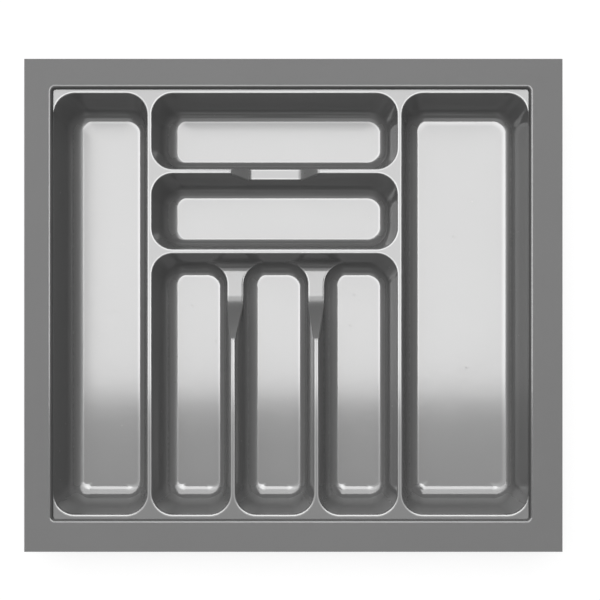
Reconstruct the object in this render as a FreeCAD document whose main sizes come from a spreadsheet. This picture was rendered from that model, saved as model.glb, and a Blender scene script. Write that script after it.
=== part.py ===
import FreeCAD, Part
import math
import os
import Sketcher

# Cutlery tray for a drawer: seven drafted bays under a flat deck, framed by a wide flat rim.
# X runs across the drawer, Y from its front to its back and Z up from the undersides of the bay floors.
# The origin is the middle of the tray's outline, on the surface that the bays stand on.

# Driving sizes in millimetres. Draft is a slope: millimetres of lean for each millimetre of depth.
SIZES = {
    # bays
    "sheet": 1.5,  # wall and floor of a bay
    "bay_depth": 44.0,  # top of the deck to the top of a bay's floor
    "draft": 0.2,  # lean of the bay walls and of the step inside the rim
    "floor_fillet": 9.0,  # round between wall and floor
    "corner_top": 21.0,  # corner radius of a bay at the deck
    "corner_floor": 18.0,  # the same at the floor, before the round
    "left_bay": 93.4,  # width of the long bay on the left
    "right_bay": 126.0,  # width of the long bay on the right
    "narrow_bay": 78.5,  # width of each of the three lower bays
    "upper_bay": 75.2,  # length of each of the two crosswise bays
    "lower_bay": 260.2,  # length of the three lower bays
    # deck
    "ridge": 4.8,  # strip of deck between two bays
    "deck_sheet": 2.4,  # deck and saddle thickness
    "edge_roll": 1.6,  # round where the deck turns down into a bay
    "side_margin": 0.4,  # deck left between the outer bays and the step, at the sides
    "back_margin": 3.8,  # the same at the back
    "front_margin": 4.4,  # the same at the front
    "deck_tuck": 2.0,  # deck hidden outside the rim's skirt
    # rim
    "step_depth": 4.5,  # top of the rim down to the deck
    "step_corner": 3.0,  # corner radius at the foot of the step
    "rim_sheet": 2.0,  # rim leaf and skirt thickness
    "rim_roll": 2.2,  # round on the rim's inner edge
    "rim_left": 26.6,  # width of the rim's flat, up to the step
    "rim_right": 31.7,
    "rim_back": 28.4,
    "rim_front": 31.4,
    # finger notches in the dividers
    "upper_drop": 16.0,  # depth of the notch between the two crosswise bays
    "upper_flat": 51.0,  # length of its flat
    "upper_slope": 19.5,  # run of each of its slopes
    "lower_drop": 31.5,  # depth of the notches between the lower bays
    "lower_flat": 43.5,  # back edge of the bays to the foot of the ramp
    "lower_ramp": 43.0,  # run of the ramp
    "lower_flare": 11.0,  # spread of the notch where it meets the back wall
}

# Half width and corner of the outlines before their sizes are bound, and the slack for comparing heights
START_HALF = 50.0
START_CORNER = 10.0
TOUCH = 0.001

# Layout, as expressions on the driving sizes
STEP_RUN = "(sizes.draft * sizes.step_depth)"
CENTRE_WIDTH = "(3 * sizes.narrow_bay + 2 * sizes.ridge)"
LONG_BAY = "(2 * sizes.upper_bay + sizes.lower_bay + 2 * sizes.ridge)"
WELL_WIDTH = f"(sizes.left_bay + sizes.right_bay + {CENTRE_WIDTH} + 2 * sizes.ridge + 2 * sizes.side_margin)"
WELL_LENGTH = f"({LONG_BAY} + sizes.back_margin + sizes.front_margin)"
WELL_X = "((sizes.rim_left - sizes.rim_right) / 2)"
WELL_Y = "((sizes.rim_front - sizes.rim_back) / 2)"
TRAY_WIDTH = f"({WELL_WIDTH} + 2 * {STEP_RUN} + sizes.rim_left + sizes.rim_right)"
TRAY_LENGTH = f"({WELL_LENGTH} + 2 * {STEP_RUN} + sizes.rim_back + sizes.rim_front)"
LEFT_X = f"({WELL_X} - {WELL_WIDTH} / 2 + sizes.side_margin + sizes.left_bay / 2)"
CENTRE_X = f"({LEFT_X} + sizes.left_bay / 2 + sizes.ridge + {CENTRE_WIDTH} / 2)"
RIGHT_X = f"({WELL_X} + {WELL_WIDTH} / 2 - sizes.side_margin - sizes.right_bay / 2)"
BACK_Y = f"({WELL_Y} + {WELL_LENGTH} / 2 - sizes.back_margin)"
LONG_Y = f"({BACK_Y} - {LONG_BAY} / 2)"
UPPER_Y = f"({BACK_Y} - sizes.upper_bay / 2)"
SECOND_Y = f"({UPPER_Y} - sizes.upper_bay - sizes.ridge)"
UPPER_RIDGE_Y = f"(({UPPER_Y} + {SECOND_Y}) / 2)"
LOWER_Y = f"({LONG_Y} - {LONG_BAY} / 2 + sizes.lower_bay / 2)"
PITCH = "(sizes.narrow_bay + sizes.ridge)"

# Heights
DECK_TOP = "(sizes.sheet + sizes.bay_depth)"
DECK_UNDER = f"({DECK_TOP} - sizes.deck_sheet)"

# Each bay: centre in X and Y, width and length at the deck
BAYS = {
    "left_tub": (LEFT_X, LONG_Y, "sizes.left_bay", LONG_BAY),
    "upper_back_tub": (CENTRE_X, UPPER_Y, CENTRE_WIDTH, "sizes.upper_bay"),
    "upper_front_tub": (CENTRE_X, SECOND_Y, CENTRE_WIDTH, "sizes.upper_bay"),
    "lower_left_tub": (f"({CENTRE_X} - {PITCH})", LOWER_Y, "sizes.narrow_bay", "sizes.lower_bay"),
    "lower_middle_tub": (CENTRE_X, LOWER_Y, "sizes.narrow_bay", "sizes.lower_bay"),
    "lower_right_tub": (f"({CENTRE_X} + {PITCH})", LOWER_Y, "sizes.narrow_bay", "sizes.lower_bay"),
    "right_tub": (RIGHT_X, LONG_Y, "sizes.right_bay", LONG_BAY),
}

# Profile of the upper notch across X from its middle: where the flat and the slopes end, and its height
UPPER_HALF_FLAT = "(sizes.upper_flat / 2)"
UPPER_HALF_OPEN = f"({UPPER_HALF_FLAT} + sizes.upper_slope)"
UPPER_FLAT_Z = f"({DECK_TOP} - sizes.upper_drop)"
UPPER_UNDER_Z = f"({UPPER_FLAT_Z} - sizes.deck_sheet)"

# Profile of the lower notches along Y from the middle of the lower bays, and half their spread across X
LOWER_FOOT_Y = "(sizes.lower_bay / 2 - sizes.lower_flat)"
LOWER_RAMP_Y = f"({LOWER_FOOT_Y} - sizes.lower_ramp)"
LOWER_FLAT_Z = f"({DECK_TOP} - sizes.lower_drop)"
LOWER_UNDER_DEPTH = "(sizes.lower_drop + sizes.deck_sheet)"
LOWER_UNDER_Z = f"({DECK_TOP} - {LOWER_UNDER_DEPTH})"
LOWER_SPREAD = f"(sizes.ridge / 2 + sizes.draft * {LOWER_UNDER_DEPTH} + sizes.lower_flare)"


def back_wall(depth):
    """Where the lower bays' back wall stands at a depth under the deck, from the middle of those bays."""
    return f"(sizes.lower_bay / 2 - sizes.draft * {depth})"


def start_document():
    """The document and its sheet of driving sizes, one alias to a cell."""
    document = FreeCAD.newDocument("cutlery_tray")
    sheet = document.addObject("Spreadsheet::Sheet", "sizes")
    for row, (alias, value) in enumerate(SIZES.items(), 1):
        sheet.set(f"A{row}", alias)
        sheet.set(f"B{row}", str(value))
        sheet.setAlias(f"B{row}", alias)
    document.recompute()
    return document, sheet


def new_body(name, x="0", y="0", z="0"):
    """An empty sub-part whose own frame stands at x, y, z."""
    body = doc.addObject("PartDesign::Body", name)
    body.Label = name
    for axis, place in zip("xyz", (x, y, z)):
        body.setExpression(f"Placement.Base.{axis}", place)
    return body


def new_sketch(body, name, role, offset=("0", "0", "0")):
    """A sketch on one of the body's own planes, moved by offset in the sketch's own directions."""
    sketch = body.newObject("Sketcher::SketchObject", f"{body.Label}_{name}")
    plane = next(item for item in body.Origin.OriginFeatures if item.Role == role)
    sketch.AttachmentSupport = [(plane, "")]
    sketch.MapMode = "FlatFace"
    for axis, place in zip("xyz", offset):
        sketch.setExpression(f"AttachmentOffset.Base.{axis}", place)
    return sketch


def bind(sketch, constraint, expression):
    """Add a dimension to the sketch and bind it to the sheet."""
    number = sketch.addConstraint(constraint)
    sketch.setExpression(f"Constraints[{number}]", expression)


def rounded_rectangle(sketch, width, length, corner):
    """A rectangle with round corners about the sketch's origin."""
    inner = START_HALF - START_CORNER
    signs = [(1, 1), (-1, 1), (-1, -1), (1, -1)]
    quarter = math.pi / 2
    arcs = []
    for turn, (across, up) in enumerate(signs):
        centre = FreeCAD.Vector(across * inner, up * inner, 0)
        circle = Part.Circle(centre, FreeCAD.Vector(0, 0, 1), START_CORNER)
        arcs.append(Part.ArcOfCircle(circle, turn * quarter, (turn + 1) * quarter))
    lines = []
    for turn, arc in enumerate(arcs):
        following = arcs[(turn + 1) % len(arcs)]
        lines.append(Part.LineSegment(arc.EndPoint, following.StartPoint))
    sketch.addGeometry(arcs + lines)
    top, left, bottom, right = range(len(arcs), 2 * len(arcs))
    for turn in range(len(arcs)):
        line = len(arcs) + turn
        sketch.addConstraint(Sketcher.Constraint("Tangent", turn, 2, line, 1))
        sketch.addConstraint(Sketcher.Constraint("Tangent", line, 2, (turn + 1) % len(arcs), 1))
    for line in (top, bottom):
        sketch.addConstraint(Sketcher.Constraint("Horizontal", line))
    for line in (left, right):
        sketch.addConstraint(Sketcher.Constraint("Vertical", line))
    for turn in range(1, len(arcs)):
        sketch.addConstraint(Sketcher.Constraint("Equal", 0, turn))
    sketch.addConstraint(Sketcher.Constraint("Symmetric", 0, 3, 2, 3, -1, 1))
    bind(sketch, Sketcher.Constraint("Radius", 0, START_CORNER), corner)
    bind(sketch, Sketcher.Constraint("DistanceX", left, 1, right, 1, 2 * START_HALF), width)
    bind(sketch, Sketcher.Constraint("DistanceY", bottom, 1, top, 1, 2 * START_HALF), length)


def polygon(sketch, corners):
    """A closed outline through corners, each a pair of expressions in the sketch's own directions."""
    count = len(corners)
    start = []
    for number in range(count):
        angle = 2 * math.pi * (number + 0.25) / count
        start.append(FreeCAD.Vector(START_HALF * math.cos(angle), START_HALF * math.sin(angle), 0))
    for number, point in enumerate(start):
        sketch.addGeometry(Part.LineSegment(point, start[(number + 1) % count]))
    for number in range(count):
        sketch.addConstraint(Sketcher.Constraint("Coincident", number, 2, (number + 1) % count, 1))
    for number, (across, up) in enumerate(corners):
        bind(sketch, Sketcher.Constraint("DistanceX", -1, 1, number, 1, start[number].x), across)
        bind(sketch, Sketcher.Constraint("DistanceY", -1, 1, number, 1, start[number].y), up)


def pad(body, sketch, length, symmetric=False):
    """Material from the sketch along its normal, or to both sides of it."""
    feature = body.newObject("PartDesign::Pad", f"{sketch.Label}_pad")
    feature.Profile = sketch
    feature.SideType = "Symmetric" if symmetric else "One side"
    feature.setExpression("Length", length)
    return feature


def pocket(body, sketch, length, along_normal=False):
    """A cut from the sketch against its normal, or along it."""
    feature = body.newObject("PartDesign::Pocket", f"{sketch.Label}_pocket")
    feature.Profile = sketch
    feature.Reversed = along_normal
    feature.setExpression("Length", length)
    return feature


def loft(body, kind, first, second):
    """A straight-sided loft between two sketches, added or cut."""
    feature = body.newObject(f"PartDesign::{kind}", f"{first.Label}_loft")
    feature.Profile = first
    feature.Sections = [(second, [""])]
    feature.Ruled = True
    return feature


def fillet(body, base, edges, radius):
    """Rounds on the numbered edges of the feature base."""
    feature = body.newObject("PartDesign::Fillet", f"{base.Label}_fillet")
    feature.Base = (base, [f"Edge{number}" for number in edges])
    feature.setExpression("Radius", radius)
    return feature


def edges_at_height(feature, height):
    """Numbers of the feature's edges that lie wholly at one height."""
    found = []
    for number, edge in enumerate(feature.Shape.Edges, 1):
        box = edge.BoundBox
        if abs(box.ZMin - height) < TOUCH and abs(box.ZMax - height) < TOUCH:
            found.append(number)
    return found


def edge_numbers(feature, wanted):
    """Numbers of the given edges among the feature's edges."""
    numbers = []
    for number, edge in enumerate(feature.Shape.Edges, 1):
        if any(edge.isSame(other) for other in wanted):
            numbers.append(number)
    return numbers


def opening_edges(feature, height, shortest):
    """Numbers of the edges round the openings of the top face at a height, past the shortest length."""
    edges = []
    for face in feature.Shape.Faces:
        box = face.BoundBox
        if abs(box.ZMin - height) < TOUCH and abs(box.ZMax - height) < TOUCH:
            for wire in face.Wires:
                if not wire.isSame(face.OuterWire):
                    edges.extend(edge for edge in wire.Edges if edge.Length > shortest)
    return edge_numbers(feature, edges)


def bay_section(body, name, bay, depth, grow="0", origin=None):
    """A bay's outline at a depth under the deck, grown by a wall; origin is the body's own place."""
    x, y, width, length = BAYS[bay]
    place_x, place_y = origin or (x, y)
    lean = f"2 * sizes.draft * ({depth})"
    narrowing = f"(sizes.corner_top - sizes.corner_floor) * ({depth}) / sizes.bay_depth"
    offset = (f"{x} - {place_x}", f"{y} - {place_y}", f"{DECK_TOP} - ({depth})")
    sketch = new_sketch(body, name, "XY_Plane", offset)
    rounded_rectangle(
        sketch,
        f"{width} - {lean} + 2 * {grow}",
        f"{length} - {lean} + 2 * {grow}",
        f"sizes.corner_top - {narrowing} + {grow}",
    )
    return sketch


def carve_bay(body, bay, top_depth, floor_depth, grow="0", origin=None):
    """Cut a bay's drafted form out of a body between two depths under the deck."""
    name = f"{bay}_{'form' if grow == '0' else 'wall'}"
    top = bay_section(body, f"{name}_top", bay, top_depth, grow, origin)
    floor = bay_section(body, f"{name}_floor", bay, floor_depth, grow, origin)
    return loft(body, "SubtractiveLoft", top, floor)


def make_tub(bay):
    """One bay: a drafted tub with round corners, its floor rounded into the walls inside and out."""
    x, y = BAYS[bay][:2]
    body = new_body(bay, x, y)
    top = bay_section(body, "outside_top", bay, "sizes.deck_sheet", "sizes.sheet")
    base = bay_section(body, "outside_base", bay, "(sizes.bay_depth + sizes.sheet)", "sizes.sheet")
    loft(body, "AdditiveLoft", top, base)
    inside = carve_bay(body, bay, "0", "sizes.bay_depth")
    doc.recompute()
    rounded = fillet(body, inside, edges_at_height(inside, sheet.get("sheet")), "sizes.floor_fillet")
    doc.recompute()
    fillet(body, rounded, edges_at_height(rounded, 0.0), "sizes.floor_fillet + sizes.sheet")
    doc.recompute()
    return body


def notch_upper_wall(body, towards_back):
    """Lower a crosswise bay's wall along the upper notch, on its back or its front side."""
    sketch = new_sketch(body, "notch", "XZ_Plane")
    polygon(
        sketch,
        [
            (f"-{UPPER_HALF_OPEN}", DECK_TOP),
            (f"-{UPPER_HALF_OPEN}", DECK_UNDER),
            (f"-{UPPER_HALF_FLAT}", UPPER_UNDER_Z),
            (UPPER_HALF_FLAT, UPPER_UNDER_Z),
            (UPPER_HALF_OPEN, DECK_UNDER),
            (UPPER_HALF_OPEN, DECK_TOP),
        ],
    )
    pocket(body, sketch, "sizes.upper_bay", along_normal=not towards_back)
    doc.recompute()


def notch_lower_wall(body, side):
    """Lower a lower bay's wall along a notch, on its left (-1) or right (1) side."""
    edge = f"({side} * ({PITCH} / 2 - {LOWER_SPREAD}))"
    sketch = new_sketch(body, f"notch_{'right' if side > 0 else 'left'}", "YZ_Plane", ("0", "0", edge))
    polygon(
        sketch,
        [
            (LOWER_RAMP_Y, DECK_TOP),
            (LOWER_RAMP_Y, DECK_UNDER),
            (LOWER_FOOT_Y, LOWER_UNDER_Z),
            (back_wall(LOWER_UNDER_DEPTH), LOWER_UNDER_Z),
            (back_wall("0"), DECK_TOP),
        ],
    )
    pocket(body, sketch, LOWER_SPREAD, along_normal=side > 0)
    doc.recompute()


def make_deck():
    """The flat deck that ties the bays together, with an opening over each bay and a gap at each notch."""
    origin = (WELL_X, WELL_Y)
    body = new_body("divider_deck", *origin)
    hidden = f"2 * ({STEP_RUN} + sizes.rim_sheet + sizes.deck_tuck)"
    outline = new_sketch(body, "outline", "XY_Plane", ("0", "0", DECK_UNDER))
    corner = f"sizes.step_corner + {STEP_RUN} + sizes.rim_sheet + sizes.deck_tuck"
    rounded_rectangle(outline, f"{WELL_WIDTH} + {hidden}", f"{WELL_LENGTH} + {hidden}", corner)
    pad(body, outline, "sizes.deck_sheet")
    for bay in BAYS:
        carve_bay(body, bay, "(-sizes.deck_sheet)", "(2 * sizes.deck_sheet)", origin=origin)
    gap_place = (f"{CENTRE_X} - {WELL_X}", "0", f"{WELL_Y} - {UPPER_RIDGE_Y} - sizes.upper_bay / 2")
    upper = new_sketch(body, "upper_gap", "XZ_Plane", gap_place)
    polygon(
        upper,
        [
            (f"-{UPPER_HALF_OPEN}", f"{DECK_TOP} + sizes.deck_sheet"),
            (f"-{UPPER_HALF_OPEN}", f"{DECK_UNDER} - sizes.deck_sheet"),
            (UPPER_HALF_OPEN, f"{DECK_UNDER} - sizes.deck_sheet"),
            (UPPER_HALF_OPEN, f"{DECK_TOP} + sizes.deck_sheet"),
        ],
    )
    pocket(body, upper, "sizes.upper_bay", along_normal=True)
    gap_place = (f"{LOWER_Y} - {WELL_Y}", "0", f"{CENTRE_X} - {WELL_X} - {PITCH}")
    lower = new_sketch(body, "lower_gap", "YZ_Plane", gap_place)
    polygon(
        lower,
        [
            (LOWER_RAMP_Y, f"{DECK_TOP} + sizes.deck_sheet"),
            (LOWER_RAMP_Y, f"{DECK_UNDER} - sizes.deck_sheet"),
            (back_wall("(2 * sizes.deck_sheet)"), f"{DECK_UNDER} - sizes.deck_sheet"),
            (back_wall("(-sizes.deck_sheet)"), f"{DECK_TOP} + sizes.deck_sheet"),
        ],
    )
    cut = pocket(body, lower, f"2 * {PITCH}", along_normal=True)
    doc.recompute()
    deck_top = sheet.get("sheet") + sheet.get("bay_depth")
    divider_end = 2 * sheet.get("ridge")
    edges = opening_edges(cut, deck_top, divider_end)
    fillet(body, cut, edges, "min(sizes.edge_roll; 0.4 * sizes.ridge; 0.8 * sizes.deck_sheet)")
    doc.recompute()
    return body


def make_rim():
    """The flat rim: a leaf round the tray and a skirt that steps down to stand on the deck's margin."""
    body = new_body("rim_frame", z=DECK_TOP)
    leaf = new_sketch(body, "leaf", "XY_Plane", ("0", "0", "sizes.step_depth - sizes.rim_sheet"))
    half_width = f"{TRAY_WIDTH} / 2"
    half_length = f"{TRAY_LENGTH} / 2"
    polygon(
        leaf,
        [
            (half_width, half_length),
            (f"-{half_width}", half_length),
            (f"-{half_width}", f"-{half_length}"),
            (half_width, f"-{half_length}"),
        ],
    )
    pad(body, leaf, "sizes.rim_sheet")
    skirt = new_sketch(body, "skirt", "XY_Plane", (WELL_X, WELL_Y, "0"))
    wall = f"({STEP_RUN} + sizes.rim_sheet)"
    rounded_rectangle(
        skirt,
        f"{WELL_WIDTH} + 2 * {wall}",
        f"{WELL_LENGTH} + 2 * {wall}",
        f"sizes.step_corner + {wall}",
    )
    pad(body, skirt, "sizes.step_depth")
    sections = []
    for name, height in (("opening_low", "-1"), ("opening_high", "2")):
        place = (WELL_X, WELL_Y, f"{height} * sizes.step_depth")
        section = new_sketch(body, name, "XY_Plane", place)
        rounded_rectangle(
            section,
            f"{WELL_WIDTH} + 2 * {height} * {STEP_RUN}",
            f"{WELL_LENGTH} + 2 * {height} * {STEP_RUN}",
            f"sizes.step_corner + {height} * {STEP_RUN}",
        )
        sections.append(section)
    opening = loft(body, "SubtractiveLoft", *sections)
    doc.recompute()
    edges = opening_edges(opening, sheet.get("step_depth"), 0.0)
    fillet(body, opening, edges, "min(sizes.rim_roll; 0.8 * sizes.step_depth)")
    doc.recompute()
    return body


def make_upper_saddle():
    """The floor of the notch between the crosswise bays: a bent strip on their lowered walls."""
    origin = (CENTRE_X, UPPER_RIDGE_Y)
    body = new_body("upper_saddle", *origin)
    sketch = new_sketch(body, "strip", "XZ_Plane")
    polygon(
        sketch,
        [
            (f"-{UPPER_HALF_OPEN}", DECK_TOP),
            (f"-{UPPER_HALF_OPEN}", DECK_UNDER),
            (f"-{UPPER_HALF_FLAT}", UPPER_UNDER_Z),
            (UPPER_HALF_FLAT, UPPER_UNDER_Z),
            (UPPER_HALF_OPEN, DECK_UNDER),
            (UPPER_HALF_OPEN, DECK_TOP),
            (UPPER_HALF_FLAT, UPPER_FLAT_Z),
            (f"-{UPPER_HALF_FLAT}", UPPER_FLAT_Z),
        ],
    )
    pad(body, sketch, "sizes.upper_bay", symmetric=True)
    for bay in ("upper_back_tub", "upper_front_tub"):
        carve_bay(body, bay, "(-sizes.deck_sheet)", "sizes.bay_depth", origin=origin)
    doc.recompute()
    return body


def make_lower_saddle(name, left_bay, right_bay, side):
    """The floor of a notch between two lower bays: flat at the back, a ramp up to the deck, a wall behind."""
    origin = (f"({CENTRE_X} + {side} * {PITCH} / 2)", LOWER_Y)
    body = new_body(name, *origin)
    upstand = new_sketch(body, "upstand", "YZ_Plane")
    polygon(
        upstand,
        [
            (back_wall(LOWER_UNDER_DEPTH), LOWER_UNDER_Z),
            (f"{back_wall(LOWER_UNDER_DEPTH)} + sizes.sheet", LOWER_UNDER_Z),
            (f"{back_wall('sizes.deck_sheet')} + sizes.sheet", DECK_UNDER),
            (back_wall("sizes.deck_sheet"), DECK_UNDER),
        ],
    )
    pad(body, upstand, PITCH, symmetric=True)
    for bay in (left_bay, right_bay):
        carve_bay(body, bay, "(-sizes.deck_sheet)", "(sizes.bay_depth + sizes.sheet)", "sizes.sheet", origin)
    strip = new_sketch(body, "strip", "YZ_Plane")
    polygon(
        strip,
        [
            (LOWER_RAMP_Y, DECK_TOP),
            (LOWER_RAMP_Y, DECK_UNDER),
            (LOWER_FOOT_Y, LOWER_UNDER_Z),
            (back_wall(LOWER_UNDER_DEPTH), LOWER_UNDER_Z),
            (back_wall("sizes.lower_drop"), LOWER_FLAT_Z),
            (LOWER_FOOT_Y, LOWER_FLAT_Z),
        ],
    )
    pad(body, strip, f"2 * {LOWER_SPREAD}", symmetric=True)
    for bay in (left_bay, right_bay):
        carve_bay(body, bay, "(-sizes.deck_sheet)", "sizes.bay_depth", origin=origin)
    doc.recompute()
    return body


def check_document():
    """Stop on any failed object."""
    for item in doc.Objects:
        failed = {"Invalid", "Error"} & set(item.State)
        if failed:
            raise RuntimeError(f"{item.Label}: {item.State}")


def check_shape(body):
    """Stop on a shape that is empty, broken or in several pieces, and print what it holds."""
    shape = body.Shape
    if shape.isNull() or not shape.isValid() or len(shape.Solids) != 1:
        raise RuntimeError(f"{body.Label}: {len(shape.Solids)} solids, valid {shape.isValid()}")
    print(f"{body.Label}: {shape.Volume:.0f} mm3 in {len(shape.Faces)} faces")


doc, sheet = start_document()
tubs = {bay: make_tub(bay) for bay in BAYS}
notch_upper_wall(tubs["upper_back_tub"], towards_back=False)
notch_upper_wall(tubs["upper_front_tub"], towards_back=True)
notch_lower_wall(tubs["lower_left_tub"], 1)
notch_lower_wall(tubs["lower_middle_tub"], -1)
notch_lower_wall(tubs["lower_middle_tub"], 1)
notch_lower_wall(tubs["lower_right_tub"], -1)
parts = list(tubs.values())
parts.append(make_upper_saddle())
parts.append(make_lower_saddle("lower_left_saddle", "lower_left_tub", "lower_middle_tub", -1))
parts.append(make_lower_saddle("lower_right_saddle", "lower_middle_tub", "lower_right_tub", 1))
parts.append(make_deck())
parts.append(make_rim())
doc.recompute()
check_document()
for part in parts:
    check_shape(part)
os.makedirs("parts", exist_ok=True)
for part in parts:
    part.Shape.exportStep(f"parts/{part.Label}.step")
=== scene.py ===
# %% [markdown]
# A glossy cutlery tray, dressed for the camera.
# The tray is a drawer insert formed from one sheet: a wide matt rim, a shallow step, a narrow deck and seven deep bays.
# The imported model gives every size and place. This lesson rebuilds each form as a smooth skin, worked out with numpy,
# and gives it the shine of formed plastic.

# %% Load the frame
from collections import namedtuple

import bmesh
import bpy
import numpy as np
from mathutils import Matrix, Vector
from mathutils.geometry import tessellate_polygon


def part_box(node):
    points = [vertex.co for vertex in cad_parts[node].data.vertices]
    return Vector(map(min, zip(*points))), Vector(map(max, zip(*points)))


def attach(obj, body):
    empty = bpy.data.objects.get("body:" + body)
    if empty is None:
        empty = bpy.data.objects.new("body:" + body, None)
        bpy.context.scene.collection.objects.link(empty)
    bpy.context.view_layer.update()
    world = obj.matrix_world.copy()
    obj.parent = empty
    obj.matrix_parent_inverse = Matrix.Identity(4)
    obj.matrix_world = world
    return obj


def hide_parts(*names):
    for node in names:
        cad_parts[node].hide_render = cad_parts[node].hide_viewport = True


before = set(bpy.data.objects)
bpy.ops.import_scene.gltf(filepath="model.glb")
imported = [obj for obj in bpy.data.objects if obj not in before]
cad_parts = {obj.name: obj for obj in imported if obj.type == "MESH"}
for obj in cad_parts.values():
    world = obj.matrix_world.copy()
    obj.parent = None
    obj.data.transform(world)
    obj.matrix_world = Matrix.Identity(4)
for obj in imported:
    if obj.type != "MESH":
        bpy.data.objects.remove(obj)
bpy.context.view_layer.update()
print("frame nodes:", sorted(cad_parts))

# %% [markdown]
# Sizes are in millimetres here and turn into metres when a mesh is made.
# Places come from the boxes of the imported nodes, so a skin lies where its solid is. What a box can't tell, such as the
# lean of a wall or the radius of a bend, is named where it is first needed.

# %% Sizes
MM = 0.001             # a millimetre in metres
SHEET = 1.5            # wall of a bay
DECK_SHEET = 2.4       # thickness of the deck and of the saddles
DRAFT = 0.2            # lean of a wall, sideways per depth
CORNER = 21.0          # corner radius of a bay at the deck
CORNER_AT_FLOOR = 20.5


def box_mm(node):
    """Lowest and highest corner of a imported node, in millimetres."""
    low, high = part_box(node)
    return np.array(low) / MM, np.array(high) / MM


deck_low, deck_high = box_mm("divider_deck")
rim_low, rim_high = box_mm("rim_frame")
DECK_TOP = deck_high[2]
RIM_TOP = rim_high[2]
BAY_DEPTH = DECK_TOP - SHEET
TAPER = (CORNER - CORNER_AT_FLOOR) / BAY_DEPTH
print(f"deck at {DECK_TOP:.1f} mm, rim at {RIM_TOP:.1f} mm, bays {BAY_DEPTH:.1f} mm deep")

# %% [markdown]
# Every bay is a rounded rectangle that shrinks with depth. It is described by columns that stand round its edge.
# A column has a point on the sharp edge where wall and deck would meet, the outward direction there, how much the wall
# leans, and how it slides along the wall with depth, because the corners close in a little towards the floor.
# One description then serves the bay, the deck's rolled edge and the saddles, so they meet without a gap.

# %% Columns round a bay
Outline = namedtuple("Outline", "edge normal slope slide top")
ARC_STEPS = 16         # steps round a corner
SIDE_STOPS = np.linspace(-0.8, 0.8, 5)  # columns of a plain side, as shares of its straight part from the middle
OUTWARD = np.array([(1.0, 0.0), (0.0, 1.0), (-1.0, 0.0), (0.0, -1.0)])  # right, back, left, front


def bay_outline(centre, half, corner=CORNER, taper=TAPER, marks=None, low_corners=None):
    """Columns round a rounded rectangle, counter-clockwise from the front end of its right side.

    A corner point is its centre plus the radius along the outward direction. With depth the centre moves in by
    draft less taper on both axes and the radius loses taper. marks gives, for a side, places along it and the depth of
    the wall's top there, and the side across takes the same places; low_corners gives that depth for the corner after
    a side."""
    marks, low_corners = marks or {}, low_corners or {}
    angle = np.linspace(0, np.pi / 2, ARC_STEPS + 1)[:, None]
    close_in = DRAFT - taper
    parts = []
    for side, out in enumerate(OUTWARD):
        along = np.array([-out[1], out[0]])
        reach, run = half[side % 2], half[1 - side % 2] - corner
        across = marks.get((side + 2) % 4, (run * SIDE_STOPS, DECK_SHEET))[0]
        stops, tops = marks.get(side, (-np.array(across)[::-1], DECK_SHEET))
        stops = np.asarray(stops, float)
        count = len(stops)
        parts.append((
            out * reach + stops[:, None] * along,
            np.tile(out, (count, 1)),
            np.full(count, DRAFT),
            -close_in * (stops / run)[:, None] * along,
            np.broadcast_to(tops, count),
        ))
        normal = np.cos(angle) * out + np.sin(angle) * along
        slope = close_in * (np.cos(angle) + np.sin(angle)) + taper
        parts.append((
            out * (reach - corner) + along * run + corner * normal,
            normal,
            slope[:, 0],
            slope * normal - close_in * (out + along) - taper * normal,
            np.full(ARC_STEPS + 1, low_corners.get(side, DECK_SHEET)),
        ))
    edge, normal, slope, slide, top = (np.concatenate(group) for group in zip(*parts))
    return Outline(edge + centre, normal, slope, slide, top)


def place(outline, out, down):
    """Points out mm outside each column's sharp edge and down mm under the deck, slid along the wall with depth."""
    flat = outline.edge + out[..., None] * outline.normal + down[..., None] * outline.slide
    return np.concatenate([flat, np.broadcast_to(DECK_TOP - down, flat.shape[:-1])[..., None]], axis=-1)


def bay_at_deck(node):
    """Centre and half size of a bay's sharp edge, from the outside of its solid at the deck's underside."""
    low, high = box_mm(node)
    return (low + high)[:2] / 2, (high - low)[:2] / 2 - SHEET + DRAFT * DECK_SHEET


print(f"columns stand {90 / ARC_STEPS:.1f} degrees apart round a corner")

# %% [markdown]
# Three curves make every cross section: the roll from the deck into a wall, the straight wall, and the bend from the
# wall into the floor. A bend that ran smoothly into the floor would blur its border, but the real floors end in a crisp
# line. So the bend starts from the floor at a slight tilt.

# %% Cross sections
EDGE_ROLL = 1.2        # rolled edge between deck and wall
ROLL_EASE = 4.0        # how many times its radius a roll is wider where it leaves the flat
EASE_SPAN = 6.0        # the tilt in degrees over which a roll's ease fades
ROLL_STEPS = 9         # rows of a roll
BEND_STEPS = 14        # rows of a bend
FINER_START = 1.6      # the tilt grows with this power of the way along a curve


def tilt_curve(first, last, radius, ease, steps):
    """Running sums along a curve whose tilt grows from first to last: how far it runs and how far it climbs.

    A step is the radius times the growth of tilt. Where the curve starts, the radius is longer by ease, and that fades
    with the tilt. The steps are finer at the start, where the shine changes fastest."""
    tilt = first + np.linspace(0, 1, steps)[:, None] ** FINER_START * (last - first)
    middle, growth = (tilt[1:] + tilt[:-1]) / 2, np.diff(tilt, axis=0)
    length = (radius + ease * np.exp((first - middle) / np.radians(EASE_SPAN))) * growth
    start = 0 * tilt[:1]
    run = np.cumsum(np.concatenate([start, length * np.cos(middle)]), axis=0)
    climb = np.cumsum(np.concatenate([start, length * np.sin(middle)]), axis=0)
    return run, climb


def edge_roll(slope, radius, ease=ROLL_EASE):
    """Rows from the deck over the edge to a wall of that slope, as (out, down). The roll eases off the deck."""
    run, drop = tilt_curve(0.0, np.pi / 2 - np.arctan(slope), radius, ease * radius, ROLL_STEPS)
    return run[-1] - slope * drop[-1] - run, drop


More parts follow.
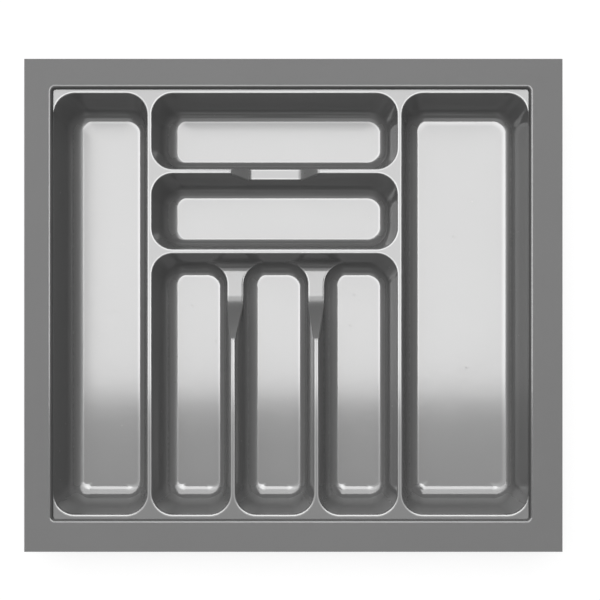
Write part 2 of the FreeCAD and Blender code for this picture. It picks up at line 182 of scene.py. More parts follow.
def floor_bend(slope, radius, floor, start=0.0, skin=0.0, steps=BEND_STEPS):
    """Rows from the wall to the floor, as (out, down): the bend leaves the floor with a tilt of start degrees.

    The wall's line is skin minus slope times depth, and the floor's border follows from it."""
    run, rise = tilt_curve(np.radians(start), np.pi / 2 - np.arctan(slope), radius, 0.0, steps)
    border = skin - slope * (floor - rise[-1]) - run[-1]
    return (border + run)[::-1], (floor - rise)[::-1]


def to_middle(ring, shares):
    """Rows that shrink a flat ring onto its own middle line: each point moves straight to the nearest point of it."""
    low, high = ring[:, :2].min(0), ring[:, :2].max(0)
    spare = (high - low) / 2 - (high - low).min() / 2
    centre = (low + high) / 2
    middle = centre + np.clip(ring[:, :2] - centre, -spare, spare)
    rows = np.repeat(ring[None], len(shares), axis=0)
    rows[..., :2] += np.asarray(shares)[:, None, None] * (middle - ring[:, :2])
    return rows


deck_roll = edge_roll(DRAFT, EDGE_ROLL)
print("the deck's roll is {:.1f} mm wide and {:.1f} mm high".format(*map(np.ptp, deck_roll)))

# %% [markdown]
# A skin is a grid of points, row by row, and its faces join each point with its neighbours. Doubles are merged where a
# grid closes on itself, which closes seams and middle lines, and normals are then turned outwards.
# Edges sharper than the steps of any bend are marked sharp, so flats stay flat and bends stay smooth.

# %% Meshes
SHARP = np.radians(12)
WELD = 0.001           # points closer than this are one point


def grid_faces(rows, columns, wrap_columns=True, wrap_rows=False):
    """Quads of a grid whose points are numbered row by row: a point, the next row, and the same one column on."""
    row = np.arange(rows if wrap_rows else rows - 1)[:, None]
    column = np.arange(columns if wrap_columns else columns - 1)[None]
    next_row, next_column = (row + 1) % rows, (column + 1) % columns
    corners = (row * columns + column, next_row * columns + column,
               next_row * columns + next_column, row * columns + next_column)
    return np.stack(np.broadcast_arrays(*corners), axis=-1).reshape(-1, 4)


def make_piece(name, node, slot, points, faces, **marks_on_skin):
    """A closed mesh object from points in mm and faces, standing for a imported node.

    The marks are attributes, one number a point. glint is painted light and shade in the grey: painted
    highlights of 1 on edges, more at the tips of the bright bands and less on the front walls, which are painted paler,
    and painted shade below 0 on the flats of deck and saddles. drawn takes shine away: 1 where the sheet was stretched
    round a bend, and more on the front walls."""
    mesh = bpy.data.meshes.new(name)
    mesh.from_pydata(np.asarray(points) * MM, [], [list(map(int, face)) for face in faces])
    for mark, values in marks_on_skin.items():
        mesh.attributes.new(mark, "FLOAT", "POINT").data.foreach_set("value", np.asarray(values, np.float32).ravel())
    cleaner = bmesh.new()
    cleaner.from_mesh(mesh)
    bmesh.ops.remove_doubles(cleaner, verts=cleaner.verts, dist=WELD * MM)
    bmesh.ops.dissolve_degenerate(cleaner, edges=cleaner.edges, dist=WELD * MM)
    bmesh.ops.recalc_face_normals(cleaner, faces=cleaner.faces)
    open_edges = sum(1 for edge in cleaner.edges if not edge.is_manifold)
    cleaner.to_mesh(mesh)
    cleaner.free()
    mesh.polygons.foreach_set("use_smooth", np.ones(len(mesh.polygons), bool))
    mesh.set_sharp_from_angle(angle=SHARP)
    piece = bpy.data.objects.new(name, mesh)
    bpy.context.scene.collection.objects.link(piece)
    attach(piece, "root")
    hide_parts(node)
    print(f"{name}: {len(mesh.polygons)} faces, {open_edges} open edges")
    return piece


print(f"edges over {np.degrees(SHARP):.0f} degrees stay sharp")

# %% [markdown]
# The dividers are lowered in three places, so that fingers get under the cutlery. Across the back pair of bays there is
# a notch in the middle of the divider. Between the narrow bays the divider drops to a low flat at its back end.
# The bays next to a notch have their walls cut down to it, and the marks below say where, as places along a side and
# the depth of the wall's top.

# %% Notches
UPPER_DROP = 16.0      # depth of the notch between the cross bays
UPPER_FLAT = 25.5      # half length of the notch's flat
UPPER_OPEN = 45.0      # half length of the notch at the deck
LOWER_DROP = 31.5      # depth of those between the narrow bays
LOWER_FLAT = 43.5      # from the back edge to the foot of the ramp
LOWER_RAMP = 43.0      # length of the ramp
SEAM = 0.4             # a wall climbs from notch to full height over this length
PLAIN_MARK = 40.0      # one more column stands this far in front of the ramp
BACK_STOPS = np.linspace(-0.8, 0.8, 3)  # columns of a narrow bay's back, as shares of its straight part

bays = {node: bay_at_deck(node) for node in (
    "left_tub", "right_tub", "upper_back_tub", "upper_front_tub",
    "lower_left_tub", "lower_middle_tub", "lower_right_tub")}
back_edge = bays["lower_middle_tub"][0][1] + bays["lower_middle_tub"][1][1]
ramp_foot = back_edge - LOWER_FLAT
ramp_top = ramp_foot - LOWER_RAMP


def column_at(node, side, place_there, depth):
    """Where a column starts at the deck, to be at that place along its side when it is at that depth."""
    run = bays[node][1][1 - side % 2] - CORNER
    return place_there / (1 - (DRAFT - TAPER) * depth / run)


def notch_marks(node, side, places, drops):
    """Marks for one notched side: places along it, and the wall's top a deck's thickness under each drop."""
    tops = np.asarray(drops, float) + DECK_SHEET
    return {side: ([column_at(node, side, p, t) for p, t in zip(places, tops)], tops)}


def lower_marks(node, right, left):
    """Marks and low corners of a narrow bay whose right or left divider has a notch."""
    centre, half = bays[node]
    foot, crest = ramp_foot - centre[1], ramp_top - centre[1]
    low = LOWER_DROP + DECK_SHEET
    run = half[0] - CORNER
    marks, corners = {}, {}
    back_stops = list(run * BACK_STOPS)
    if right:
        marks.update(notch_marks(node, 0, [crest - PLAIN_MARK, crest, foot], [0, 0, LOWER_DROP]))
        corners[0] = low
        back_stops.insert(0, SEAM - run)
    if left:
        marks.update(notch_marks(node, 2, [-foot, -crest, PLAIN_MARK - crest], [LOWER_DROP, 0, 0]))
        corners[1] = low
        back_stops.append(run - SEAM)
    marks[1] = (back_stops, DECK_SHEET)
    return marks, corners


upper_places = [-UPPER_OPEN, -UPPER_FLAT, UPPER_FLAT, UPPER_OPEN]
upper_drops = [0, UPPER_DROP, UPPER_DROP, 0]
bay_marks = {
    "left_tub": ({}, {}),
    "right_tub": ({}, {}),
    "upper_back_tub": (notch_marks("upper_back_tub", 3, upper_places, upper_drops), {}),
    "upper_front_tub": (notch_marks("upper_front_tub", 1, upper_places, upper_drops), {}),
    "lower_left_tub": lower_marks("lower_left_tub", right=True, left=False),
    "lower_middle_tub": lower_marks("lower_middle_tub", right=True, left=True),
    "lower_right_tub": lower_marks("lower_right_tub", right=False, left=True),
}
outlines = {node: bay_outline(*bays[node], marks=sides, low_corners=low)
            for node, (sides, low) in bay_marks.items()}
print("columns:", {node: len(outline.top) for node, outline in outlines.items()})

# %% [markdown]
# A bay could be a box with its edges bevelled, but its walls lean and its corners tighten with depth. So its skin is
# one grid: rows run from the middle of the floor over the bend and up the wall, over the wall's top, down the outside
# and in under the floor. The floor is slightly domed, as formed floors are. The bends are easier on the left and
# tighter on the right. They are easiest at the front of the five bays that reach it, where they show as a bright band.
# The bends at the sides and the walls at the front are stretched most, so they are marked as drawn and shine less. The
# front walls are also painted paler, as painted light.

# %% Bays
FLOOR_BEND = 13.6      # bend between wall and floor
CREASE = 15.5          # tilt in degrees with which the bend leaves the floor, which makes a crisp line
LEFT_BEND = 18.5       # the bends along the left walls are easier, and those along the right walls tighter
LEFT_CREASE = 13.0
RIGHT_BEND = 12.5
RIGHT_CREASE = 22.0
FRONT_BEND = 20.5      # the wider bend at the front end of the long and narrow bays
FRONT_CREASE = 5.0
CORNER_EASE = 1.2      # how much wider the bend is in the corners, which rounds those of the floor
CORNER_SOFTEN = 9.0    # degrees that the crease loses in the front corners, where the bright band turns up
CROWN = 0.5            # how far a floor is domed
FLOOR_SHARES = np.array([0.04, 0.1, 0.2, 0.3, 0.42, 0.56, 0.74, 1.0])  # rows from the border to the middle
WALL_SHARES = np.linspace(0, 1, 5)[:-1, None]  # rows from the wall's top to the bend
BEND_STRETCH = np.r_[0.15, np.ones(7), 0.8, 0.6, 0.4, 0.2]  # from the floor's border up the bend
BEND_SHINE = 9         # rows of the front bends that stay shiny; above them the front walls are drawn further
FRONT_DRAWN = 1.5      # how far the front walls are drawn
FRONT_PAINTED_LIGHT = 0.7       # painted light that makes the front walls paler
FRONT_TURN = 1.3       # the power with which the front bend fades round a corner
CREASE_PAINTED_GLINT = 0.8     # painted highlight on the floor beside the creases at the right and at the back
TIP_ROWS = 5           # rows of the front corners' bends that are painted brightest, at the tips of the bright band painted highlight that they add
TIP_PAINTED_GLINT = 1.3        # glint that they add
TIP_TURN = 0.7         # the power with which the tips fade round a corner


def wall_and_bend(outline, floor, skin, **bend):
    """Rows down one face of a wall, from its top to the floor's border."""
    bend_out, bend_down = floor_bend(outline.slope, floor=floor, skin=skin, **bend)
    wall_down = outline.top + WALL_SHARES * (bend_down[0] - outline.top)
    wall_out = skin - outline.slope * wall_down
    return place(outline, np.concatenate([wall_out, bend_out]), np.concatenate([wall_down, bend_down]))


def by_side(plain, front, right, left, shares):
    """A measure that is plain at the back, and moves to its front, right and left values by their shares."""
    return plain + np.dot([front - plain, right - plain, left - plain], shares)


def make_bay(node, name, easy_front):
    """One bay as a closed shell, with the easier front bend where easy_front is 1.

    The floor is domed: its height over the border is a parabola of the way to the middle. A column's shares of right
    and left are the squares of those parts of its direction, its share of front is a power of that part, and how much
    it is a corner is the square of twice the product of its two parts."""
    outline = outlines[node]
    right, back = outline.normal.T
    frontness = easy_front * np.clip(-back, 0, 1) ** FRONT_TURN
    shares = [frontness, np.clip(right, 0, 1) ** 2, np.clip(-right, 0, 1) ** 2]
    cornerness = (2 * right * back) ** 2
    radius = by_side(FLOOR_BEND, FRONT_BEND, RIGHT_BEND, LEFT_BEND, shares) + CORNER_EASE * cornerness
    start = by_side(CREASE, FRONT_CREASE, RIGHT_CREASE, LEFT_CREASE, shares) - CORNER_SOFTEN * frontness * cornerness
    inside = wall_and_bend(outline, BAY_DEPTH + CROWN / 2, 0.0, radius=radius, start=start)
    outside = wall_and_bend(outline, BAY_DEPTH + SHEET, SHEET, radius=radius + SHEET)
    floor, under = to_middle(inside[-1], FLOOR_SHARES), to_middle(outside[-1], FLOOR_SHARES)
    floor[..., 2] += CROWN * (1 - (1 - FLOOR_SHARES[:, None]) ** 2)
    rows = np.concatenate([floor[::-1], inside[::-1], outside, under])
    glint, drawn = np.zeros(rows.shape[:2]), np.zeros(rows.shape[:2])
    border = len(floor)
    # painted highlight: the grey is painted paler along the floor's border and beside the right and back creases
    glint[border] = 1 - frontness
    glint[border - 1] = CREASE_PAINTED_GLINT * (np.clip(outline.normal, 0, 1) ** 2).sum(axis=1)
    # painted highlight at the tips of the bright band, in the front corners
    tips = slice(border - 1, border + TIP_ROWS)
    glint[tips] += TIP_PAINTED_GLINT * easy_front * np.clip(-back, 0, 1) ** TIP_TURN * cornerness
    drawn[border:border + len(BEND_STRETCH)] = np.outer(BEND_STRETCH, right**2 * (1 - frontness))
    wall = slice(border + BEND_SHINE, border + len(inside))
    drawn[wall] = np.maximum(drawn[wall], FRONT_DRAWN * frontness)
    # painted light: the front walls are painted paler
    glint[wall] = FRONT_PAINTED_LIGHT * frontness
    return make_piece(name, node, "tray_plastic", rows.reshape(-1, 3), grid_faces(*rows.shape[:2]),
                      glint=glint, drawn=drawn)


tray_pieces = [
    make_bay("left_tub", "long_bay_left", easy_front=1),
    make_bay("right_tub", "long_bay_right", easy_front=1),
    make_bay("upper_back_tub", "cross_bay_back", easy_front=0),
    make_bay("upper_front_tub", "cross_bay_front", easy_front=0),
    make_bay("lower_left_tub", "narrow_bay_left", easy_front=1),
    make_bay("lower_middle_tub", "narrow_bay_middle", easy_front=1),
    make_bay("lower_right_tub", "narrow_bay_right", easy_front=1),
]

# %% [markdown]
# A saddle is the lowered top of a divider. It is a strip carried along a path: each section runs up one side, over a
# rolled edge, straight across, and down the other side. Only one side is worked out, and the other is its mirror image.
# The slopes bend gently at both ends, so their depth is the running sum of a steepness that rises and falls. A slope is
# stretched like a bend, so it is marked as drawn where it is steep.

# %% Saddle sections
LIP = 0.7              # lip of a flat beside the roll, where the painted highlight begins
PAINTED_DIMMING = -0.4            # painted shade: the flats of deck and saddles are painted darker than the floors
STEEP = 1.5            # a slope counts as drawn in proportion to its steepness, times this
BRIGHT_ROWS = 4        # rows of a roll, beside the lip, that are painted paler as a highlight
FINE_STEPS = 400       # steps of the running sum


def slope_depths(lengths, steepness, drop):
    """Depth along a slope from its crest: the running sum of the steepness, scaled to reach the drop."""
    fine = np.linspace(0, lengths[-1], FINE_STEPS)
    steep = np.interp(fine, lengths, steepness)
    total = np.concatenate([[0], np.cumsum((steep[1:] + steep[:-1]) / 2)])
    return lambda along: np.interp(along, fine, total * drop / total[-1])


def saddle_skin(name, node, edge, normal, slope, depth, roll, under, mirror_axis, mirror_at):
    """A strip from rows of one sharp edge (mm), its outward direction, the wall's slope, depth and roll radius.

    under holds the points where the strip's side ends, in mm with height. The mirror image gives the other side.
    Steepness is the change of depth along the edge."""
    out, down = edge_roll(slope, roll)
    fullness = roll / EDGE_ROLL
    out, down = np.concatenate([[out[0] + LIP * fullness], out]), np.concatenate([down[:1], down])
    flat = edge[None] + out[..., None] * normal[None]
    side = np.concatenate([flat, (DECK_TOP - depth - down)[..., None]], axis=-1)
    half = np.concatenate([side, under[None]])[::-1]
    other = half[::-1].copy()
    other[..., mirror_axis] = 2 * mirror_at - other[..., mirror_axis]
    rows = np.concatenate([half, other]).transpose(1, 0, 2)
    count = rows.shape[1]
    first_cap = np.arange(count)
    last_cap = first_cap + (len(rows) - 1) * count
    faces = list(grid_faces(*rows.shape[:2])) + [first_cap, last_cap]
    path = np.r_[0, np.cumsum(np.hypot(*np.diff(edge, axis=0).T))]
    steep = np.clip(STEEP * np.abs(np.gradient(depth, path)), 0, 1)
    # painted highlight on the roll beside the lip and painted shade on the lip, both fading where the strip is steep
    shine = np.r_[np.zeros(ROLL_STEPS + 1 - BRIGHT_ROWS), np.ones(BRIGHT_ROWS), PAINTED_DIMMING]
    glint = np.outer((1 - steep) * fullness, np.r_[shine, shine[::-1]])
    drawn = np.outer(steep * fullness, np.ones(count))
    return make_piece(name, node, "tray_plastic", rows.reshape(-1, 3), faces, glint=glint, drawn=drawn)


print(f"a slope is fully drawn where it falls {1 / STEEP:.2f} mm for each mm along")

# %% [markdown]
# In the notch of the divider between the cross bays, the strip slopes down from the deck, runs level and slopes up
# again. It is worked out from left to right. Rows lie closer where a slope starts to fall, as the shine turns there.

# %% Saddle of the cross bays
RIDGE = 4.8            # width of a divider at the deck
UPPER_FOOT = 3.2       # how far the bend at the foot of a slope reaches into the flat
UPPER_BRINK = 5.0      # length over which a slope grows steep
UPPER_SETTLE = 9.0     # length over which it levels out


def make_upper_saddle():
    """The strip in the notch of the cross divider: down a slope, along the flat and up again."""
    centre, half = bays["upper_back_tub"]
    wall = centre[1] - half[1]
    half_flat = UPPER_FLAT - UPPER_FOOT
    slope_run = UPPER_OPEN - half_flat
    depth_at = slope_depths([0, UPPER_BRINK, slope_run - UPPER_SETTLE, slope_run], [0, 1, 1, 0], UPPER_DROP)
    along = np.concatenate([np.linspace(0, UPPER_BRINK + 0.5, 9), np.linspace(UPPER_BRINK + 2.5, slope_run, 14)])
    flat = np.linspace(-half_flat, half_flat, 5)[1:-1]
    x = np.concatenate([along - UPPER_OPEN, flat, UPPER_OPEN - along[::-1]])
    depth = np.concatenate([depth_at(along), np.full(len(flat), UPPER_DROP), depth_at(along[::-1])])
    under_depth = DECK_SHEET + np.interp(np.abs(x), [UPPER_FLAT, UPPER_OPEN], [UPPER_DROP, 0])
    count = len(x)
    return saddle_skin(
        "cross_saddle", "upper_saddle",
        edge=np.stack([x + centre[0], wall + DRAFT * depth], axis=-1),
        normal=np.tile([0.0, -1.0], (count, 1)),
        slope=np.full(count, DRAFT),
        depth=depth,
        roll=np.full(count, EDGE_ROLL),
        under=np.stack([x + centre[0], wall + DRAFT * under_depth, DECK_TOP - under_depth], axis=-1),
        mirror_axis=1,
        mirror_at=wall - RIDGE / 2,
    )


tray_pieces.append(make_upper_saddle())

# %% [markdown]
# The saddles between the narrow bays are longer. From the crest a ramp falls to a flat, the flat widens as it follows
# the round corners of the two bays, and a small bend takes it up the back wall to the deck. Past the flat each row
# belongs to one column of the bay's corner: the bend's height there is where the corner's wall meets it.

# %% Saddles of the narrow bays
FLAT_END = 6           # the corner column where the flat ends and the bend begins
WALL_PROUD = 0.02      # the back wall's strip lies this far in front of the walls beside it
WALL_LAP = 0.6         # and overlaps them by this much
LOWER_FOOT = 6.5       # how far the bend at the foot of the ramp reaches into the flat
LOWER_BRINK = 4.0      # length over which the ramp grows steep
LOWER_SETTLE = 15.0    # length over which it levels out
CREST_TILT = 0.05      # its steepness at the crest, as a share of its greatest
MEET_ROUNDS = 60       # rounds of halving in which the corner's wall and the bend come to meet
ROLL_TURNS = np.radians([0, 38, 55, 90])        # round the corner the roll keeps its radius at first,
ROLL_SIZES = [EDGE_ROLL, EDGE_ROLL, 0.3, 0.05]  # and then runs out against the back wall


def corner_point(node, angle, depth):
    """A point on a bay's right back corner, as (x, y): the corner's centre plus the radius along the angle.

    With depth the centre moves in by draft less taper, and the radius loses taper."""
    centre, half = bays[node]
    inset = CORNER + (DRAFT - TAPER) * depth
    radius = CORNER - TAPER * depth
    return (centre[0] + half[0] - inset + radius * np.cos(angle),
            centre[1] + half[1] - inset + radius * np.sin(angle))


def make_lower_saddle(node, name, bay):
    """Ramp, flat, bend and back wall between two narrow bays, from the bay on the left.

    The bend is an arc that starts level at the end of the flat and ends with the lean of the back wall. A corner
    column's depth moves halfway to the depth of that arc at the column's place, again and again, until they agree."""
    centre, half = bays[bay]
    wall = centre[0] + half[0]
    low = LOWER_DROP + DECK_SHEET
    ramp_run = LOWER_RAMP + LOWER_FOOT
    depth_at = slope_depths([0, LOWER_BRINK, ramp_run - LOWER_SETTLE, ramp_run], [CREST_TILT, 1, 1, 0], LOWER_DROP)

    fall = np.concatenate([
        np.linspace(0, LOWER_BRINK + 0.5, 10),
        np.linspace(2 * LOWER_BRINK, ramp_run - LOWER_SETTLE - 1, 5),
        np.linspace(ramp_run - LOWER_SETTLE, ramp_run, 16),
    ])
    flat_y = np.linspace(ramp_foot + LOWER_FOOT, corner_point(bay, 0.0, LOWER_DROP)[1], 5)[1:-1]
    straight_y = np.concatenate([ramp_top + fall, flat_y])
    straight_depth = np.concatenate([depth_at(fall), np.full(len(flat_y), LOWER_DROP)])
    straight_under = DECK_SHEET + np.concatenate([
        LOWER_DROP * np.clip(fall / LOWER_RAMP, 0, 1),
        np.full(len(flat_y), LOWER_DROP),
    ])

    angle = np.linspace(0, np.pi / 2, ARC_STEPS + 1)
    flat_end = corner_point(bay, angle[FLAT_END], LOWER_DROP)[1]
    bend_run = back_edge - DRAFT * LOWER_DROP - flat_end
    bend = bend_run / (np.sqrt(1 + DRAFT**2) - DRAFT)
    corner_depth = np.full(ARC_STEPS + 1, LOWER_DROP)
    for _ in range(MEET_ROUNDS):
        rise = np.clip(corner_point(bay, angle, corner_depth)[1] - flat_end, 0, bend * np.cos(np.arctan(DRAFT)))
        corner_depth = (corner_depth + LOWER_DROP - bend + np.sqrt(bend**2 - rise**2)) / 2
    corner_x, corner_y = corner_point(bay, angle, corner_depth)
    foot_x, foot_y = corner_point(bay, angle, low)

    wall_depth = np.linspace(corner_depth[-1], DECK_SHEET, 6)[1:]
    wall_x = corner_point(bay, np.pi / 2, wall_depth)[0] - WALL_LAP
    wall_y = back_edge - DRAFT * wall_depth - WALL_PROUD

    turn = np.concatenate([np.zeros(len(straight_y)), angle, np.full(len(wall_depth), np.pi / 2)])
    count = len(turn)
    roll = np.interp(turn, ROLL_TURNS, ROLL_SIZES)
    x = np.concatenate([wall - DRAFT * straight_depth, corner_x, wall_x])
    y = np.concatenate([straight_y, corner_y, wall_y])
    depth = np.concatenate([straight_depth, corner_depth, wall_depth])
    under = np.stack([
        np.concatenate([wall - DRAFT * straight_under, foot_x, wall_x]),
        np.concatenate([straight_y, foot_y, wall_y + DECK_SHEET]),
        DECK_TOP - np.concatenate([straight_under, np.full(ARC_STEPS + 1, low), wall_depth]),
    ], axis=-1)
    return saddle_skin(
        name, node,
        edge=np.stack([x, y], axis=-1),
        normal=np.stack([np.cos(turn), np.sin(turn)], axis=-1),
        slope=(DRAFT - TAPER) * (np.cos(turn) + np.sin(turn)) + TAPER,
        depth=depth,
        roll=roll,
        under=under,
        mirror_axis=0,
        mirror_at=wall + RIDGE / 2,
    )


tray_pieces.append(make_lower_saddle("lower_left_saddle", "narrow_saddle_left", "lower_left_tub"))
tray_pieces.append(make_lower_saddle("lower_right_saddle", "narrow_saddle_right", "lower_middle_tub"))

# %% [markdown]
# The deck is a flat plate with four openings: the two long bays, the pair of cross bays joined by their notch, and the
# three narrow bays joined by theirs. Cutting it with booleans would lose the rolled edges, so each opening gets a band
# of roll and wall along its columns, and the flats between the bands are filled by triangles that keep to the borders.
# A band starts with a narrow lip beside the roll. The grey is painted paler over the lip and the start of the roll, as
# a painted highlight, and the flats between the lips are painted darker, as painted shade.

# %% Openings of the deck
def stretch(node, start, stop):
    """The columns of a bay from the one nearest to start, counter-clockwise to the one nearest to stop."""
    outline = outlines[node]
    first = np.argmin(np.hypot(*(outline.edge - start).T))
    last = np.argmin(np.hypot(*(outline.edge - stop).T))
    count = len(outline.top)
    chosen = (first + np.arange((last - first) % count + 1)) % count
    return Outline(*(field[chosen] for field in outline))


def joined(*stretches):
    """Several stretches of columns, one after the other."""
    return Outline(*(np.concatenate(fields) for fields in zip(*stretches)))


def side_of(node, side):
    """Where a bay's right (0), back (1), left (2) or front (3) edge lies."""
    centre, half = bays[node]
    return centre[side % 2] + (half[side % 2] if side < 2 else -half[side % 2])


middle_x = bays["upper_back_tub"][0][0]
upper_back = stretch(
    "upper_back_tub",
    (middle_x + UPPER_OPEN, side_of("upper_back_tub", 3)),
    (middle_x - UPPER_OPEN, side_of("upper_back_tub", 3)),
)
upper_front = stretch(
    "upper_front_tub",
    (middle_x - UPPER_OPEN, side_of("upper_front_tub", 1)),
    (middle_x + UPPER_OPEN, side_of("upper_front_tub", 1)),
)
right_end = bays["lower_left_tub"][0][0] + bays["lower_left_tub"][1][0] - CORNER
left_end = bays["lower_right_tub"][0][0] - bays["lower_right_tub"][1][0] + CORNER
lower_outer = joined(
    stretch("lower_right_tub", (side_of("lower_right_tub", 2), ramp_top), (left_end, back_edge)),
    stretch("lower_left_tub", (right_end, back_edge), (side_of("lower_left_tub", 0), ramp_top)),
)
lower_inner = stretch(
    "lower_middle_tub",
    (side_of("lower_middle_tub", 2), ramp_top),
    (side_of("lower_middle_tub", 0), ramp_top),
)
closed_openings = [(outlines["left_tub"], -1.0), (outlines["right_tub"], 1.0)]
joined_openings = [(upper_back, upper_front), (lower_outer, lower_inner)]
print("columns of the long bays' openings:", [len(outline.top) for outline, _ in closed_openings])
print("columns of the joined openings:", [[len(outline.top) for outline in pair] for pair in joined_openings])

# %% [markdown]
# With the openings known, the deck is put together from its parts: a band round each opening, the ends of the dividers
# at the notches, the flats above and below, and the edge round the outside, which is hidden under the rim.

# %% The deck
TIGHT_ROLL = 0.12      # beside the long bays the step leaves no room for a roll
TIGHT_FROM = 0.8       # how squarely an edge faces the step where its roll starts to tighten
FRONT_EASE = 10.0      # a roll's ease at the front end of the deck, whose edges show a broader bright line


def edge_band(outline, tight_side=0.0):
    """Rows of one opening's edge, from the flat deck over the lip and the roll down to the underside.

    On a side that stands against the step, right (1) or left (-1), the roll tightens to a bare edge. At the front end
    of the deck it eases off the flat more slowly."""
    tight = np.clip((tight_side * outline.normal[:, 0] - TIGHT_FROM) / (1 - TIGHT_FROM), 0, 1)
    front = np.clip(-outline.normal[:, 1], 0, 1) ** 2 * (outline.edge[:, 1] < ramp_top)
    ease = ROLL_EASE + (FRONT_EASE - ROLL_EASE) * front
    out, down = edge_roll(outline.slope, EDGE_ROLL + (TIGHT_ROLL - EDGE_ROLL) * tight, ease=ease)
    last = np.full(len(outline.slope), DECK_SHEET)
    out = np.concatenate([[out[0] + LIP], out, [-outline.slope * last]])
    return place(outline, out, np.concatenate([[0 * last], down, [last]]))


def fill_flat(loops, height):
    """Triangles of the flat between an outer loop and the holes inside it, as points and faces."""
    flat = np.concatenate(loops)
    triangles = tessellate_polygon([[Vector((*point, 0.0)) for point in loop] for loop in loops])
    return np.column_stack([flat, np.full(len(flat), height)]), triangles


def make_deck():
    """The plate with its bands, its two flats, the ends of the dividers at the notches and its outer edge."""
    points, faces, glint = [], [], []

    def add(new_points, new_faces, new_glint):
        """Adds points, their faces, which are numbered from the first new point, and their glint."""
        first = sum(len(p) for p in points)
        points.append(new_points)
        faces.extend([first + np.asarray(face) for face in new_faces])
        glint.append(new_glint)

    def add_band(rows, wrap):
        """Adds a band that is painted darker where the flat ends, painted paler as a highlight on the lip and the start
        of the roll, and then plain.
        """
        shine = np.zeros(rows.shape[:2])
        # painted shade on the lip row and painted highlight on the first rows of the roll
        shine[0] = PAINTED_DIMMING
        shine[1:1 + BRIGHT_ROWS] = 1.0
        add(rows.reshape(-1, 3), grid_faces(*rows.shape[:2], wrap_columns=wrap), shine.ravel())

    top_loops, under_loops = [], []
    for outline, tight_side in closed_openings:
        rows = edge_band(outline, tight_side)
        add_band(rows, True)
        top_loops.append(rows[0, :, :2])
        under_loops.append(rows[-1, :, :2])
    for pair in joined_openings:
        first, second = (edge_band(outline) for outline in pair)
        add_band(first, False)
        add_band(second, False)
        top_loops.append(np.concatenate([first[0], second[0]])[:, :2])
        under_loops.append(np.concatenate([first[-1], second[-1]])[:, :2])
        for before, after in ((first, second), (second, first)):
            end = np.concatenate([before[:, -1], after[::-1, 0]])
            add(end, [np.arange(len(end))], np.zeros(len(end)))
    low, high = deck_low[:2], deck_high[:2]
    outer = np.array([low, (high[0], low[1]), high, (low[0], high[1])])
    for loops, height in ((top_loops, DECK_TOP), (under_loops, DECK_TOP - DECK_SHEET)):
        flat, triangles = fill_flat([outer] + loops, height)
        # painted shade: the flats are painted darker
        add(flat, triangles, np.full(len(flat), PAINTED_DIMMING))
    skirt = np.stack([np.column_stack([outer, np.full(4, z)]) for z in (DECK_TOP, DECK_TOP - DECK_SHEET)])
    add(skirt.reshape(-1, 3), grid_faces(2, 4), np.zeros(8))
    return make_piece("deck", "divider_deck", "tray_plastic", np.concatenate(points), faces,
                      glint=np.concatenate(glint))


tray_pieces.append(make_deck())

# %% [markdown]
# The rim is one profile carried round the well: a crisp foot on the deck, the wall of the step, a wide roll, the flat
# top, the cut outer edge and the underside. The outer edge is a plain rectangle with square corners, so there the
# columns of a round inner corner all run to one point.

# %% The rim
DECK_TUCK = 4.9        # deck hidden under the rim, out from the foot of the step
STEP_CORNER = 3.0      # corner radius of the well at the deck
RIM_ROLL = 2.2         # roll between the rim's flat and the step
RIM_SHEET = 2.0        # thickness of the rim
FOOT_ROUND = 0.12      # round at the foot of the step
FOOT_STEPS = 4         # rows of that round
FOOT_SUNK = 0.3        # how far the foot goes into the deck, so that no light shows between them
SIDE_LEAN = 0.078      # more lean at the sides, where the step runs down to the bays' own edge
CUT_BEVEL = 0.3        # bevel of the cut outer edge
STRAIGHT = 0.9999      # a column whose direction is this near to an axis isn't part of a corner


def make_rim():
    """The rim as a ring that closes both ways: round the well, and round its own section.

    The step leans by the draft, and more by the fourth power of how far a column faces sideways."""
    step = RIM_TOP - DECK_TOP
    well_low, well_high = deck_low[:2] + DECK_TUCK, deck_high[:2] - DECK_TUCK
    lean = DRAFT * step
    path = bay_outline((well_low + well_high) / 2, (well_high - well_low) / 2 + lean,
                       corner=STEP_CORNER + lean, taper=DRAFT)
    slope = DRAFT + SIDE_LEAN * path.normal[:, 0] ** 4
    roll_out, roll_down = edge_roll(slope, RIM_ROLL)
    cove_out, cove_down = floor_bend(slope, FOOT_ROUND, step, steps=FOOT_STEPS)
    sheet = np.full(len(slope), RIM_SHEET)
    sunk = cove_down[-1] + FOOT_SUNK
    out = np.concatenate([roll_out, cove_out, [cove_out[-1], sheet, sheet]])
    down = np.concatenate([roll_down, cove_down, [sunk, sunk, sheet]])
    inner = path.edge + out[..., None] * path.normal
    inner = np.concatenate([inner, (RIM_TOP - down)[..., None]], axis=-1)

    straight = np.max(np.abs(path.normal), axis=1) > STRAIGHT
    sign = np.sign(np.round(path.normal, 6))
    corner = np.where(sign > 0, rim_high[:2], rim_low[:2])
    beside = np.where(sign == 0, path.edge, corner)
    outer = np.where(straight[:, None], beside, corner)
    inset = np.where(sign == 0, 0.0, sign * CUT_BEVEL)
    levels = [(RIM_SHEET, 0), (CUT_BEVEL, 0), (0, 1)]
    rows = [np.column_stack([outer - share * inset, np.full(len(outer), RIM_TOP - drop)]) for drop, share in levels]
    rows = np.concatenate([inner, np.stack(rows)])
    return make_piece("rim", "rim_frame", "rim_plastic", rows.reshape(-1, 3),
                      grid_faces(*rows.shape[:2], wrap_rows=True))


rim = make_rim()

# %% [markdown]
# Shader maths reads best as a formula. A wire wraps one socket, and adding or multiplying wires adds the Math nodes.
# Any other node comes from one method of the bench, which sets the node up first and then fills its inputs.

